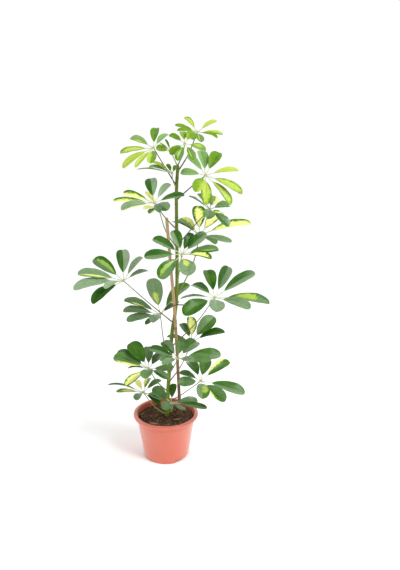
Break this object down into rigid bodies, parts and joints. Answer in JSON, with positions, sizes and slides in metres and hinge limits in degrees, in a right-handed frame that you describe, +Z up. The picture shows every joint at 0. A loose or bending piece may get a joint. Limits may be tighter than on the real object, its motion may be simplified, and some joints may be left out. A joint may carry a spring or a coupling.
{
  "type": "potted umbrella plant",
  "caption": "Variegated dwarf umbrella plant with whorled compound leaves on a stem tied to a bamboo cane, in a rimmed plastic nursery pot filled with soil.",
  "frame": {"origin": "centre of the pot's underside, on the surface the pot stands on", "axes": "+Z up along the pot's axis; -Y is the front, the side that the leaves turn to; +X is to the right seen from the front"},
  "size_m": [0.4844, 0.2943, 0.8879],
  "materials": {
    "pot": "matt injection-moulded terracotta-orange polypropylene",
    "soil": "dark brown peat with lighter fibres and bark chips; wood stands in for damp peat",
    "stem": "smooth yellow-green young bark with leaf scars",
    "cane": "dry tan bamboo with ringed knots",
    "wire": "black plastic-coated garden wire",
    "leaf_old": "glossy leathery dark green leaf with yellow patches",
    "leaf_young": "satin lime-green and yellow young leaf"
  },
  "bodies": {
    "root": {"pot": "pot", "soil": "soil", "stem": "stem", "cane": "cane", "wire_tie": "wire", "leaf_top_right": "leaf_young", "leaf_top_left": "leaf_young", "leaf_bud": "leaf_young", "leaf_apex": "leaf_young", "leaf_young": "leaf_young", "leaf_upper_right": "leaf_young", "leaf_upper_left": "leaf_old", "leaf_strap": "leaf_old", "leaf_right_of_stem": "leaf_old", "leaf_yellow": "leaf_old", "leaf_front": "leaf_old", "leaf_far_left": "leaf_old", "leaf_left_of_stem": "leaf_old", "leaf_far_right": "leaf_old", "leaf_behind": "leaf_old", "leaf_over_cane": "leaf_old", "leaf_lower_left": "leaf_old", "leaf_lower_right": "leaf_old", "leaf_low_left": "leaf_old", "leaf_low_front": "leaf_old"}
  },
  "joints": []
}
